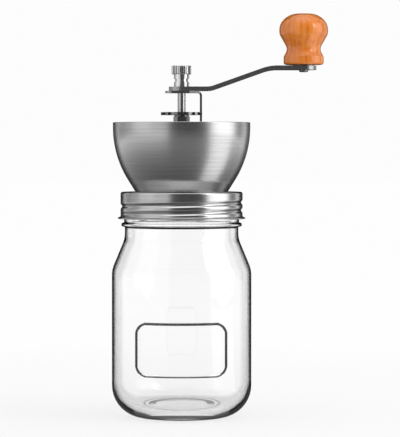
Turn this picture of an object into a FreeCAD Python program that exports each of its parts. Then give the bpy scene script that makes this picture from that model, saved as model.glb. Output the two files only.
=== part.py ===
import FreeCAD, Part
import math
import os
import Sketcher

# Hand crank coffee grinder that screws onto a glass jar. Millimetres, +Z up.
# The origin is the middle of the jar's base. The crank arm points along +X at rest.

DIMENSIONS = {
    # Glass jar
    "jar_diameter": 88,
    "jar_height": 140.2,
    "jar_wall": 3,
    "jar_floor": 5,
    "heel_radius": 20,
    "bearing_ring": 2.5,
    "punt_height": 2.5,
    "shoulder_drop": 47,
    "shoulder_height": 19.7,
    "inner_shoulder_drop": 1,
    "shoulder_bend": 18,
    "neck_diameter": 71.6,
    "bead_diameter": 76,
    "bead_drop": 19.8,
    "bead_height": 2.3,
    "bead_round": 0.55,
    "finish_diameter": 72.6,
    "mouth_diameter": 64,
    "lip_round": 1.1,
    "thread_pitch": 5,
    "thread_depth": 1.35,
    "thread_foot": 2.6,
    "thread_crest": 0.8,
    "thread_turns": 1.25,
    # Seal and screw band
    "seal_thickness": 1.5,
    "seal_overhang": 0.2,
    "band_diameter": 77,
    "band_height": 17,
    "band_sheet": 0.5,
    "band_corner": 1.2,
    "band_flare_diameter": 80.4,
    "band_groove_depth": 1,
    "band_ridge_foot": 2.8,
    "band_ridge_crest": 0.9,
    "band_groove_foot": 2.3,
    "band_groove_crest": 0.65,
    "band_groove_turns": 1.6,
    "band_groove_start": 2.7,
    # Hopper bowl
    "bowl_foot_diameter": 58.2,
    "bowl_rim_diameter": 86.6,
    "bowl_height": 43.8,
    "bowl_sheet": 0.8,
    "bowl_bend_level": 22.7,
    "bowl_rim_land": 3.3,
    "bowl_hole_diameter": 40.4,
    # Bridge strap and its bush
    "strap_width": 14,
    "strap_thickness": 2,
    "strap_drop": 3.3,
    "strap_tab": 9,
    "strap_bend": 3,
    "bush_flange_diameter": 13,
    "bush_flange": 1.5,
    "bush_hexagon": 9,
    "bush_hexagon_height": 5.5,
    "bush_barrel_diameter": 8,
    "bush_nut_hexagon": 11,
    "bush_nut_height": 4,
    # Burr housing
    "flange_diameter": 62.4,
    "flange_thickness": 3,
    "skirt_diameter": 54,
    "spigot_diameter": 40,
    "spigot_rise": 2,
    "throat_diameter": 35,
    "throat_shelf": 0.5,
    "hub_diameter": 13,
    "hub_level": 12,
    "hub_height": 6,
    "lower_bush_wall": 1.5,
    "leg_count": 3,
    "leg_width": 5,
    "housing_screw_circle": 48.8,
    "screw_count": 3,
    "screw_diameter": 3,
    "screw_length": 4,
    "screw_head_diameter": 5.5,
    "screw_head_height": 1.6,
    "screw_socket": 2.5,
    "screw_socket_depth": 1,
    # Burrs
    "outer_burr_diameter": 42,
    "outer_burr_height": 11,
    "outer_burr_bottom_bore": 35.2,
    "outer_burr_top_bore": 30,
    "outer_burr_slots": 24,
    "outer_slot_depth": 1,
    "outer_slot_width": 1.4,
    "outer_slot_runout": 0.25,
    "retainer_thickness": 2,
    "retainer_bore": 37.2,
    "inner_burr_drop": 0.5,
    "inner_burr_diameter": 34.1,
    "inner_burr_ring_diameter": 32.6,
    "inner_burr_ring_height": 3.5,
    "inner_burr_top_diameter": 16,
    "inner_burr_height": 18.5,
    "inner_burr_slots": 12,
    "inner_slot_depth": 1.6,
    "inner_slot_width": 1.8,
    "inner_slot_runout": 0.4,
    "counterbore_diameter": 12,
    "counterbore_depth": 6,
    "burr_washer_diameter": 10,
    "burr_washer_thickness": 0.8,
    "burr_nut_hexagon": 8,
    "burr_nut_height": 4,
    # Shaft, thrust washer and spring
    "shaft_diameter": 5,
    "shaft_flat": 3.8,
    "shaft_tail": 0.5,
    "collar_diameter": 8,
    "collar_height": 1.5,
    "thrust_washer_diameter": 11,
    "thrust_washer_thickness": 0.8,
    "spring_wire": 1,
    "spring_diameter": 9,
    "spring_turns": 3.5,
    # Adjusting wheel and lock plate
    "wheel_diameter": 26.4,
    "wheel_thickness": 1.8,
    "wheel_hub_diameter": 9.2,
    "wheel_hub_height": 0.9,
    "notch_count": 12,
    "notch_width": 4.6,
    "notch_depth": 2.2,
    "plate_thickness": 1.4,
    "plate_width": 10,
    "plate_tail": 10.3,
    "plate_bend": 3.2,
    "plate_round": 4.5,
    "leg_clearance": 0.2,
    "leg_inset": 0.3,
    "leg_reach": 7,
    # Crank arm, cap nut and knob
    "arm_level": 63.6,
    "arm_thickness": 2.6,
    "arm_width": 16,
    "arm_reach": 76.9,
    "arm_rise": 13.2,
    "arm_bend_start": 18.6,
    "arm_bend_end": 55.7,
    "arm_low_bend": 13,
    "arm_high_bend": 26,
    "cap_height": 13.2,
    "cap_head_diameter": 12.8,
    "cap_head_height": 5.4,
    "cap_body_diameter": 9.6,
    "cap_waist_diameter": 8.2,
    "cap_waist_height": 2,
    "cap_body_height": 3,
    "cap_bore_depth": 11.4,
    "cap_flutes": 36,
    "cap_flute_depth": 0.35,
    "cap_edge": 0.6,
    "knob_height": 32.1,
    "knob_diameter": 30.6,
    "knob_waist_diameter": 20,
    "knob_waist_level": 9.9,
    "knob_waist_round": 5,
    "knob_base_diameter": 25.2,
    "knob_base_height": 5,
    "knob_base_round": 1.5,
    "knob_bulge_level": 19.3,
    "knob_bulge_round": 6,
    "knob_shoulder_level": 26,
    "knob_shoulder_round": 9,
    "knob_crown_diameter": 17,
    "knob_crown_round": 12,
    "knob_bore_depth": 23,
    "knob_bush_diameter": 10,
    "knob_bush_height": 18.8,
    "pin_diameter": 5,
    "pin_head_diameter": 8,
    "pin_head_height": 2,
    "pin_tail_diameter": 6,
    "pin_tail_height": 1.4,
    "pin_tail_round": 1.1,
    "knob_washer_diameter": 13,
    "knob_washer_thickness": 0.6,
    # Clearances
    "running_clearance": 0.05,
    "seat_clearance": 0.02,
    "free_clearance": 0.3,
    "weld_clearance": 0.03,
}

doc = FreeCAD.newDocument("coffee_grinder")
sheet = doc.addObject("Spreadsheet::Sheet", "sheet")
for row, (alias, value) in enumerate(DIMENSIONS.items(), start=1):
    sheet.set(f"A{row}", alias)
    sheet.set(f"B{row}", str(value))
    sheet.setAlias(f"B{row}", alias)
doc.recompute()


class Size:
    """A measure that knows its number and the formula that binds it to the sheet."""

    def __init__(self, number, formula):
        self.number = number
        self.formula = formula

    def __add__(self, other):
        other = as_size(other)
        return Size(self.number + other.number, f"({self.formula} + {other.formula})")

    def __sub__(self, other):
        other = as_size(other)
        return Size(self.number - other.number, f"({self.formula} - {other.formula})")

    def __mul__(self, other):
        other = as_size(other)
        return Size(self.number * other.number, f"({self.formula} * {other.formula})")

    def __truediv__(self, other):
        other = as_size(other)
        return Size(self.number / other.number, f"({self.formula} / {other.formula})")

    def __neg__(self):
        return Size(-self.number, f"(0 - {self.formula})")


def as_size(value):
    """Turn a bare number into a Size."""
    return value if isinstance(value, Size) else Size(float(value), repr(float(value)))


def size(alias):
    """A driving dimension from the sheet."""
    return Size(float(sheet.get(alias)), f"sheet.{alias}")


def root(value):
    """Square root of a Size."""
    return Size(math.sqrt(value.number), f"sqrt({value.formula})")


def radius(alias):
    """Half of a diameter in the sheet."""
    return size(alias) / 2


ORIGIN = as_size(0)
FULL_TURN = 360
HALF_TURN = 180
SCREW_BEARING = 60
ARCS_PER_TURN = 4

# Levels up the axis
lip_level = size("jar_height")
seal_top = lip_level + size("seal_thickness")
band_top = seal_top + size("band_sheet")
band_bottom = band_top - size("band_height")
thread_level = band_bottom + size("band_groove_start")
bowl_bottom = band_top
bowl_floor = bowl_bottom + size("bowl_sheet")
rim_level = bowl_bottom + size("bowl_height")
flange_bottom = seal_top - size("flange_thickness")
outer_burr_top = flange_bottom - size("throat_shelf")
outer_burr_bottom = outer_burr_top - size("outer_burr_height")
retainer_bottom = outer_burr_bottom - size("retainer_thickness")
inner_burr_bottom = outer_burr_bottom - size("inner_burr_drop")
inner_burr_top = inner_burr_bottom + size("inner_burr_height")
counterbore_top = inner_burr_bottom + size("counterbore_depth")
burr_washer_bottom = counterbore_top - size("burr_washer_thickness")
burr_nut_bottom = burr_washer_bottom - size("burr_nut_height")
collar_top = inner_burr_top + size("collar_height")
thrust_washer_top = collar_top + size("thrust_washer_thickness")
hub_bottom = band_top + size("hub_level")
hub_top = hub_bottom + size("hub_height")
strap_top = rim_level - size("strap_drop")
strap_bottom = strap_top - size("strap_thickness")
bush_flange_top = strap_top + size("bush_flange")
bush_top = bush_flange_top + size("bush_hexagon_height")
bush_nut_bottom = strap_bottom - size("bush_nut_height")
wheel_bottom = bush_top + size("wheel_hub_height")
wheel_top = wheel_bottom + size("wheel_thickness")
arm_bottom = band_top + size("arm_level")
arm_top = arm_bottom + size("arm_thickness")
plate_bottom = arm_bottom - size("plate_thickness")
cap_top = arm_top + size("cap_height")
high_bottom = arm_bottom + size("arm_rise")
high_top = high_bottom + size("arm_thickness")
knob_bottom = high_top + size("knob_washer_thickness") + size("running_clearance")

# Radii shared by pieces that fit together
jar_radius = radius("jar_diameter")
finish_radius = radius("finish_diameter")
mouth_radius = radius("mouth_diameter")
band_radius = radius("band_diameter")
band_inside = band_radius - size("band_sheet")
flange_radius = radius("flange_diameter")
bowl_hole_radius = radius("bowl_hole_diameter")
shaft_radius = radius("shaft_diameter")
shaft_bore = shaft_radius + size("running_clearance")
wheel_radius = radius("wheel_diameter")
pin_radius = radius("pin_diameter")
screw_circle = radius("housing_screw_circle")
screw_radius = radius("screw_diameter")


def origin_feature(body, role):
    """One of a body's own planes or axes."""
    return next(feature for feature in body.Origin.OriginFeatures if feature.Role == role)


def new_body(name):
    """An empty body."""
    body = doc.addObject("PartDesign::Body", name)
    body.Label = name
    return body


def new_sketch(body, name, role, lift=None):
    """A sketch on one of the body's planes, lifted along that plane's normal."""
    sketch = body.newObject("Sketcher::SketchObject", name)
    sketch.AttachmentSupport = [(origin_feature(body, role), "")]
    sketch.MapMode = "FlatFace"
    if lift is not None:
        sketch.AttachmentOffset = FreeCAD.Placement(FreeCAD.Vector(0, 0, lift.number), FreeCAD.Rotation())
        sketch.setExpression("AttachmentOffset.Base.z", lift.formula)
    return sketch


def bind(sketch, constraints, bindings):
    """Add constraints, then tie the dimensional ones among them to their formulas."""
    first = sketch.ConstraintCount
    sketch.addConstraint(constraints)
    for place, measure in bindings:
        sketch.setExpression(f"Constraints[{first + place}]", measure.formula)


def pin_point(constraints, bindings, geometry, end, across, up):
    """Dimension one point of a sketch from its origin."""
    for kind, measure in (("DistanceX", across), ("DistanceY", up)):
        bindings.append((len(constraints), measure))
        constraints.append(Sketcher.Constraint(kind, -1, 1, geometry, end, measure.number))


def outline(sketch, corners):
    """Draw a closed outline through corners (across, up) or (across, up, rounding radius)."""
    spots = [FreeCAD.Vector(as_size(c[0]).number, as_size(c[1]).number, 0) for c in corners]
    roundings = [as_size(c[2]) if len(c) > 2 else None for c in corners]
    count = len(corners)
    starts = list(spots)
    ends = list(spots)
    arcs = {}
    for i, rounding in enumerate(roundings):
        if rounding is None:
            continue
        back = (spots[i - 1] - spots[i]).normalize()
        ahead = (spots[(i + 1) % count] - spots[i]).normalize()
        half = back.getAngle(ahead) / 2
        reach = rounding.number / math.tan(half)
        ends[i] = spots[i] + back * reach
        starts[i] = spots[i] + ahead * reach
        centre = spots[i] + (back + ahead).normalize() * (rounding.number / math.sin(half))
        left_turn = back.cross(ahead).z < 0
        first, last = (ends[i], starts[i]) if left_turn else (starts[i], ends[i])
        angles = [math.atan2(p.y - centre.y, p.x - centre.x) for p in (first, last)]
        circle = Part.Circle(centre, FreeCAD.Vector(0, 0, 1), rounding.number)
        arcs[i] = (Part.ArcOfCircle(circle, angles[0], angles[1]), left_turn)
    base = sketch.GeometryCount
    sketch.addGeometry([Part.LineSegment(starts[i], ends[(i + 1) % count]) for i in range(count)], False)
    constraints = []
    bindings = []
    for i, corner in enumerate(corners):
        across, up = as_size(corner[0]), as_size(corner[1])
        before = base + (i - 1) % count
        after = base + i
        if roundings[i] is None:
            constraints.append(Sketcher.Constraint("Coincident", before, 2, after, 1))
            pin_point(constraints, bindings, after, 1, across, up)
            continue
        arc, left_turn = arcs[i]
        entry, leaving = (1, 2) if left_turn else (2, 1)
        bend = sketch.addGeometry(arc, False)
        corner_point = sketch.addGeometry(Part.Point(spots[i]), True)
        constraints.append(Sketcher.Constraint("Tangent", before, 2, bend, entry))
        constraints.append(Sketcher.Constraint("Tangent", bend, leaving, after, 1))
        constraints.append(Sketcher.Constraint("PointOnObject", corner_point, 1, before))
        constraints.append(Sketcher.Constraint("PointOnObject", corner_point, 1, after))
        bindings.append((len(constraints), roundings[i]))
        constraints.append(Sketcher.Constraint("Radius", bend, roundings[i].number))
        pin_point(constraints, bindings, corner_point, 1, across, up)
    bind(sketch, constraints, bindings)


def circle(sketch, across, up, measure):
    """Draw a circle of a given radius."""
    across, up = as_size(across), as_size(up)
    middle = FreeCAD.Vector(across.number, up.number, 0)
    ring = sketch.addGeometry(Part.Circle(middle, FreeCAD.Vector(0, 0, 1), measure.number), False)
    constraints = [Sketcher.Constraint("Radius", ring, measure.number)]
    bindings = [(0, measure)]
    pin_point(constraints, bindings, ring, 3, across, up)
    bind(sketch, constraints, bindings)


def revolve(body, name, corners, kind="PartDesign::Revolution"):
    """Turn an outline of (radius, level) corners about the body's upright axis."""
    sketch = new_sketch(body, f"{name}_profile", "XZ_Plane")
    outline(sketch, corners)
    turn = body.newObject(kind, name)
    turn.Profile = sketch
    turn.ReferenceAxis = (sketch, ["V_Axis"])
    turn.Angle = FULL_TURN
    return turn


def turned(name, corners):
    """A body turned from one outline."""
    body = new_body(name)
    revolve(body, f"{name}_turn", corners)
    return body


def extrude(body, name, kind, sketch, length, symmetric=False):
    """A pad or a pocket of a sketch."""
    feature = body.newObject(kind, name)
    feature.Profile = sketch
    feature.Type = "Length"
    feature.SideType = "Symmetric" if symmetric else "One side"
    feature.setExpression("Length", as_size(length).formula)
    return feature


def pattern(body, name, feature, count):
    """Repeat a feature around the body's upright axis."""
    ring = body.newObject("PartDesign::PolarPattern", name)
    ring.Originals = [feature]
    ring.Axis = (origin_feature(body, "Z_Axis"), [""])
    ring.Angle = FULL_TURN
    ring.setExpression("Occurrences", count.formula)
    ring.Occurrences = int(count.number)
    body.Tip = ring
    return ring


def place(item, across=ORIGIN, depth=ORIGIN, up=ORIGIN):
    """Put an object where three sizes say."""
    item.Placement.Base = FreeCAD.Vector(across.number, depth.number, up.number)
    item.setExpression("Placement.Base.x", across.formula)
    item.setExpression("Placement.Base.y", depth.formula)
    item.setExpression("Placement.Base.z", up.formula)
    return item


def cylinder(name, measure, bottom, height, across=ORIGIN, depth=ORIGIN):
    """An upright cylinder."""
    item = doc.addObject("Part::Cylinder", name)
    item.setExpression("Radius", measure.formula)
    item.setExpression("Height", height.formula)
    return place(item, across, depth, bottom)


def hexagon(name, across_flats, bottom, height, across=ORIGIN, depth=ORIGIN):
    """An upright hexagonal bar with a corner towards +X."""
    item = doc.addObject("Part::Prism", name)
    item.Polygon = 6
    item.setExpression("Circumradius", (across_flats / root(as_size(3))).formula)
    item.setExpression("Height", height.formula)
    return place(item, across, depth, bottom)


def fuse(name, shapes):
    """Several solids as one object."""
    item = doc.addObject("Part::MultiFuse", name)
    item.Shapes = shapes
    item.Label = name
    return item


def cut(name, base, tool):
    """One solid with another taken out of it."""
    item = doc.addObject("Part::Cut", name)
    item.Base = base
    item.Tool = tool
    item.Label = name
    return item


def ring(name, outer, inner, bottom, height, across=ORIGIN):
    """A flat washer or a plain sleeve."""
    body = cylinder(f"{name}_disc", outer, bottom, height, across)
    bore = cylinder(f"{name}_bore", inner, bottom, height, across)
    return cut(name, body, bore)


def thread(body, name, kind, corners, turns, pitch):
    """A helical ridge or groove of an outline that stands at +X."""
    sketch = new_sketch(body, f"{name}_profile", "XZ_Plane")
    outline(sketch, corners)
    helix = body.newObject(kind, name)
    helix.Profile = sketch
    helix.ReferenceAxis = (sketch, ["V_Axis"])
    helix.Mode = "pitch-turns-angle"
    helix.setExpression("Pitch", pitch.formula)
    helix.setExpression("Turns", turns.formula)
    helix.Angle = 0
    helix.LeftHanded = False
    helix.Reversed = False
    return helix


def glass_jar():
    """Pressed glass jar: heel, straight side, rounded shoulder, neck, bead and screw finish."""
    wall = size("jar_wall")
    inside = jar_radius - wall
    neck = radius("neck_diameter")
    foot = lip_level - size("shoulder_drop")
    head = foot + size("shoulder_height")
    bend = size("shoulder_bend")
    slope = (head - foot) / (jar_radius - neck)
    inner_foot = foot - size("inner_shoulder_drop")
    inner_head = inner_foot + slope * (inside - mouth_radius)
    ring_outside = jar_radius - size("heel_radius")
    ring_inside = ring_outside - size("bearing_ring")
    bead = radius("bead_diameter")
    bead_bottom = lip_level - size("bead_drop")
    bead_top = bead_bottom + size("bead_height")
    bead_round, lip_round = size("bead_round"), size("lip_round")
    corners = [
        (ORIGIN, size("punt_height")),
        (ring_inside - size("punt_height"), size("punt_height")),
        (ring_inside, ORIGIN),
        (jar_radius, ORIGIN, size("heel_radius")),
        (jar_radius, foot, bend),
        (neck, head, bend),
        (neck, bead_bottom),
        (bead, bead_bottom, bead_round),
        (bead, bead_top, bead_round),
        (finish_radius, bead_top),
        (finish_radius, lip_level, lip_round),
        (mouth_radius, lip_level, lip_round),
        (mouth_radius, inner_head, bend),
        (inside, inner_foot, bend - wall),
        (inside, size("jar_floor"), size("heel_radius") - wall),
        (ORIGIN, size("jar_floor")),
    ]
    body = turned("glass_jar", corners)
    start = thread_level
    half_foot, half_crest = size("thread_foot") / 2, size("thread_crest") / 2
    sunk = finish_radius - size("running_clearance")
    crest = finish_radius + size("thread_depth")
    thread(
        body,
        "jar_thread",
        "PartDesign::AdditiveHelix",
        [
            (sunk, start - half_foot),
            (crest, start - half_crest),
            (crest, start + half_crest),
            (sunk, start + half_foot),
        ],
        size("thread_turns"),
        size("thread_pitch"),
    )
    return body


def jar_seal():
    """Silicone ring between the jar's lip and the top of the band."""
    inner = flange_radius + size("free_clearance")
    outer = finish_radius + size("seal_overhang")
    return ring("jar_seal", outer, inner, lip_level, size("seal_thickness"))


def screw_band():
    """Rolled sheet band with a flared lower edge. Its rolled thread starts half a turn from the jar's."""
    sheet_thickness = size("band_sheet")
    flare = radius("band_flare_diameter")
    corner = size("band_corner")
    spread = flare - band_radius
    corners = [
        (bowl_hole_radius, band_top),
        (band_radius, band_top, corner),
        (band_radius, band_bottom + spread),
        (flare, band_bottom + sheet_thickness),
        (flare, band_bottom),
        (band_inside, band_bottom + spread - sheet_thickness),
        (band_inside, seal_top, corner - sheet_thickness),
        (bowl_hole_radius, seal_top),
    ]
    body = turned("screw_band", corners)
    start = thread_level
    depth = size("band_groove_depth")
    for name, kind, face in (
        ("band_ridge", "PartDesign::AdditiveHelix", band_inside),
        ("band_groove", "PartDesign::SubtractiveHelix", band_radius),
    ):
        outer = face + size("running_clearance")
        half_foot, half_crest = size(f"{name}_foot") / 2, size(f"{name}_crest") / 2
        bottom = face - depth
        thread(
            body,
            name,
            kind,
            [
                (outer, start - half_foot),
                (outer, start + half_foot),
                (bottom, start + half_crest),
                (bottom, start - half_crest),
            ],
            size("band_groove_turns"),
            size("thread_pitch"),
        )
    drill_circle(body, "band_screw_holes", band_top, size("band_sheet"), side=-1)
    half_turn = FreeCAD.Rotation(FreeCAD.Vector(0, 0, 1), HALF_TURN)
    body.Placement = FreeCAD.Placement(FreeCAD.Vector(), half_turn)
    return body


def bowl_wall(offset):
    """Corners of the bowl's side, moved inwards by an offset: foot, bend and rim."""
    foot, rim = radius("bowl_foot_diameter"), radius("bowl_rim_diameter")
    bend_level = size("bowl_bend_level")
    lean = (rim - foot) / bend_level
    stretch = root(lean * lean + 1)
    half_bend = (stretch - 1) / lean
    bend_radius = (size("bowl_height") - bend_level - size("bowl_rim_land")) / half_bend
    inner_bend = bowl_bottom + bend_level + offset * half_bend
    return foot - offset * stretch, lean, (rim - offset, inner_bend, bend_radius - offset), rim - offset


def hopper_bowl():
    """Spun steel bowl that holds the beans."""
    foot, lean, bend, rim = bowl_wall(ORIGIN)
    inner_foot, lean, inner_bend, inner_rim = bowl_wall(size("bowl_sheet"))
    corners = [
        (bowl_hole_radius, bowl_bottom),
        (foot, bowl_bottom),
        bend,
        (rim, rim_level),
        (inner_rim, rim_level),
        inner_bend,
        (inner_foot + lean * size("bowl_sheet"), bowl_floor),
        (bowl_hole_radius, bowl_floor),
    ]
    body = turned("hopper_bowl", corners)
    return drill_circle(body, "bowl_screw_holes", bowl_floor, size("bowl_sheet"))


def screw_spot(index):
    """Where one of the clamping screws stands."""
    turn = math.radians(SCREW_BEARING + FULL_TURN * index / size("screw_count").number)
    return screw_circle * math.cos(turn), screw_circle * math.sin(turn)


def drill_circle(body, name, top, depth, side=1):
    """Clearance holes for the clamping screws. A body that is turned by half a turn has its side at -1."""
    sketch = new_sketch(body, f"{name}_plan", "XY_Plane", top)
    across, depth_back = screw_spot(0)
    circle(sketch, across * side, depth_back * side, screw_radius + size("running_clearance"))
    hole = extrude(body, f"{name}_cut", "PartDesign::Pocket", sketch, depth)
    pattern(body, name, hole, size("screw_count"))
    return body


def bridge():
    """Steel strap across the bowl with turned-down ends that follow the bowl's wall."""
    half_span = radius("bowl_rim_diameter")
    thickness = size("strap_thickness")
    tab_bottom = strap_top - size("strap_tab")
    body = new_body("bridge")
    sketch = new_sketch(body, "bridge_side", "XZ_Plane")
    tab_inside = half_span - thickness * 2
    bend = size("strap_bend")
    corners = [
        (-half_span, strap_top),
        (-half_span, tab_bottom),
        (-tab_inside, tab_bottom),
        (-tab_inside, strap_bottom, bend),
        (tab_inside, strap_bottom, bend),
        (tab_inside, tab_bottom),
        (half_span, tab_bottom),
        (half_span, strap_top),
    ]
    outline(sketch, corners)
    extrude(body, "bridge_strap", "PartDesign::Pad", sketch, size("strap_width"), symmetric=True)
    foot, lean, wall_bend, rim = bowl_wall(size("bowl_sheet") + size("weld_clearance"))
    beyond = half_span + thickness
    revolve(
        body,
        "bridge_ends",
        [(foot, bowl_bottom), wall_bend, (rim, rim_level), (beyond, rim_level), (beyond, bowl_bottom)],
        "PartDesign::Groove",
    )
    hole_sketch = new_sketch(body, "bridge_hole_plan", "XY_Plane", strap_top)
    circle(hole_sketch, 0, 0, radius("bush_barrel_diameter") + size("seat_clearance"))
    extrude(body, "bridge_hole", "PartDesign::Pocket", hole_sketch, thickness)
    return body


def upper_bush():
    """Flanged bush with a hexagon, held in the bridge by a nut."""
    barrel_radius = radius("bush_barrel_diameter")
    flange = cylinder("upper_bush_flange", radius("bush_flange_diameter"), strap_top, size("bush_flange"))
    head = hexagon("upper_bush_head", size("bush_hexagon"), bush_flange_top, size("bush_hexagon_height"))
    barrel = cylinder("upper_bush_barrel", barrel_radius, bush_nut_bottom, strap_top - bush_nut_bottom)
    blank = fuse("upper_bush_blank", [flange, head, barrel])
    bore = cylinder("upper_bush_bore", shaft_bore, bush_nut_bottom, bush_top - bush_nut_bottom)
    return cut("upper_bush", blank, bore)


def bush_nut():
    """Nut under the bridge."""
    bar = hexagon("bush_nut_bar", size("bush_nut_hexagon"), bush_nut_bottom, size("bush_nut_height"))
    hole_radius = radius("bush_barrel_diameter") + size("seat_clearance")
    hole = cylinder("bush_nut_hole", hole_radius, bush_nut_bottom, size("bush_nut_height"))
    return cut("bush_nut", bar, hole)


def burr_housing():
    """Cast housing: skirt round the outer burr, clamping flange, spigot, three legs and a hub."""
    body = new_body("burr_housing")
    burr_seat = radius("outer_burr_diameter") + size("seat_clearance")
    throat = radius("throat_diameter")
    spigot = radius("spigot_diameter")
    spigot_top = band_top + size("spigot_rise")
    revolve(
        body,
        "burr_housing_ring",
        [
            (burr_seat, outer_burr_bottom),
            (radius("skirt_diameter"), outer_burr_bottom),
            (radius("skirt_diameter"), flange_bottom),
            (flange_radius, flange_bottom),
            (flange_radius, seal_top),
            (spigot, seal_top),
            (spigot, spigot_top),
            (throat, spigot_top),
            (throat, outer_burr_top),
            (burr_seat, outer_burr_top),
        ],
    )
    leg_side = new_sketch(body, "burr_housing_leg_side", "XZ_Plane")
    hub = radius("hub_diameter")
    hub_bore = shaft_bore + size("lower_bush_wall")
    leg_inside = (hub + hub_bore) / 2
    outline(
        leg_side,
        [
            (throat, seal_top),
            (spigot, seal_top),
            (spigot, spigot_top),
            (hub, hub_top),
            (leg_inside, hub_top),
            (leg_inside, hub_bottom),
            (hub, hub_bottom),
        ],
    )
    leg_width = size("leg_width")
    leg = extrude(body, "burr_housing_leg", "PartDesign::Pad", leg_side, leg_width, symmetric=True)
    pattern(body, "burr_housing_legs", leg, size("leg_count"))
    revolve(
        body,
        "burr_housing_hub",
        [(hub_bore, hub_bottom), (hub, hub_bottom), (hub, hub_top), (hub_bore, hub_top)],
    )
    drill_circle(body, "housing_top_holes", seal_top, size("screw_length"))
    length = size("screw_length")
    return drill_circle(body, "housing_skirt_holes", outer_burr_bottom + length, length)


def screws(name, seat, upwards):
    """Socket screws on the clamping circle, as separate solids in one node."""
    made = []
    head_radius, head_height = radius("screw_head_diameter"), size("screw_head_height")
    socket_size, socket_depth = size("screw_socket"), size("screw_socket_depth")
    length = size("screw_length")
    for index in range(int(size("screw_count").number)):
        across, depth = screw_spot(index)
        head_bottom = seat - head_height if upwards else seat
        shank_bottom = seat if upwards else seat - length
        socket_bottom = head_bottom if upwards else seat + head_height - socket_depth
        title = f"{name}_{index + 1}"
        head = cylinder(f"{title}_head", head_radius, head_bottom, head_height, across, depth)
        shank = cylinder(f"{title}_shank", screw_radius, shank_bottom, length, across, depth)
        socket = hexagon(f"{title}_socket", socket_size, socket_bottom, socket_depth, across, depth)
        made.append(cut(f"{title}_screw", fuse(f"{title}_blank", [head, shank]), socket))
    return fuse(name, made)


def lower_bush():
    """Plain bush in the housing's hub."""
    outer = shaft_bore + size("lower_bush_wall") - size("seat_clearance")
    return ring("lower_bush", outer, shaft_bore, hub_bottom, size("hub_height"))


def outer_burr():
    """Fixed ceramic ring with cutting slots on its inside."""
    bottom_bore, top_bore = radius("outer_burr_bottom_bore"), radius("outer_burr_top_bore")
    outside = radius("outer_burr_diameter")
    body = turned(
        "outer_burr",
        [
            (bottom_bore, outer_burr_bottom),
            (outside, outer_burr_bottom),
            (outside, outer_burr_top),
            (top_bore, outer_burr_top),
        ],
    )
    depth = size("outer_slot_depth")
    sketch = new_sketch(body, "outer_burr_slot_side", "XZ_Plane")
    corners = [
        (bottom_bore - depth, outer_burr_bottom),
        (bottom_bore + size("outer_slot_runout"), outer_burr_bottom),
        (top_bore + depth, outer_burr_top),
        (top_bore - depth, outer_burr_top),
    ]
    outline(sketch, corners)
    width = size("outer_slot_width")
    slot = extrude(body, "outer_burr_slot", "PartDesign::Pocket", sketch, width, symmetric=True)
    pattern(body, "outer_burr_slots", slot, size("outer_burr_slots"))
    return body


def burr_retainer():
    """Ring that holds the outer burr in its housing."""
    body = turned(
        "burr_retainer",
        [
            (radius("retainer_bore"), retainer_bottom),
            (radius("skirt_diameter"), retainer_bottom),
            (radius("skirt_diameter"), outer_burr_bottom),
            (radius("retainer_bore"), outer_burr_bottom),
        ],
    )
    return drill_circle(body, "retainer_holes", outer_burr_bottom, size("retainer_thickness"))


def inner_burr():
    """Turning ceramic cone with cutting slots, counterbored for its nut."""
    bottom, rim_ring = radius("inner_burr_diameter"), radius("inner_burr_ring_diameter")
    top = radius("inner_burr_top_diameter")
    ring_level = inner_burr_bottom + size("inner_burr_ring_height")
    counterbore = radius("counterbore_diameter")
    bore = shaft_radius + size("seat_clearance")
    body = turned(
        "inner_burr",
        [
            (counterbore, inner_burr_bottom),
            (bottom, inner_burr_bottom),
            (rim_ring, ring_level),
            (top, inner_burr_top),
            (bore, inner_burr_top),
            (bore, counterbore_top),
            (counterbore, counterbore_top),
        ],
    )
    depth = size("inner_slot_depth")
    sketch = new_sketch(body, "inner_burr_slot_side", "XZ_Plane")
    corners = [
        (rim_ring - size("inner_slot_runout"), ring_level),
        (bottom, ring_level),
        (top + depth, inner_burr_top),
        (top - depth, inner_burr_top),
    ]
    outline(sketch, corners)
    width = size("inner_slot_width")
    slot = extrude(body, "inner_burr_slot", "PartDesign::Pocket", sketch, width, symmetric=True)
    pattern(body, "inner_burr_slots", slot, size("inner_burr_slots"))
    return body


def burr_washer():
    """Washer between the inner burr and its nut."""
    bore = shaft_radius + size("seat_clearance")
    return ring(
        "burr_washer",
        radius("burr_washer_diameter"),
        bore,
        burr_washer_bottom,
        size("burr_washer_thickness"),
    )


def burr_nut():
    """Nut that clamps the inner burr against the shaft's collar."""
    bar = hexagon("burr_nut_bar", size("burr_nut_hexagon"), burr_nut_bottom, size("burr_nut_height"))
    hole_radius = shaft_radius + size("seat_clearance")
    hole = cylinder("burr_nut_hole", hole_radius, burr_nut_bottom, size("burr_nut_height"))
    return cut("burr_nut", bar, hole)


def thrust_washer():
    """Washer on the shaft's collar that takes the spring's push."""
    return ring(
        "thrust_washer",
        radius("thrust_washer_diameter"),
        shaft_bore,
        collar_top,
        size("thrust_washer_thickness"),
    )


def helix_point(turn, start, rise, coil_radius):
    """A point of a coil and its direction there."""
    angle = 2 * math.pi * turn
    across, depth = coil_radius * math.cos(angle), coil_radius * math.sin(angle)
    spot = FreeCAD.Vector(across, depth, start + rise * turn)
    tangent = FreeCAD.Vector(-depth, across, rise / (2 * math.pi))
    return spot, tangent.normalize()


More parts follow.
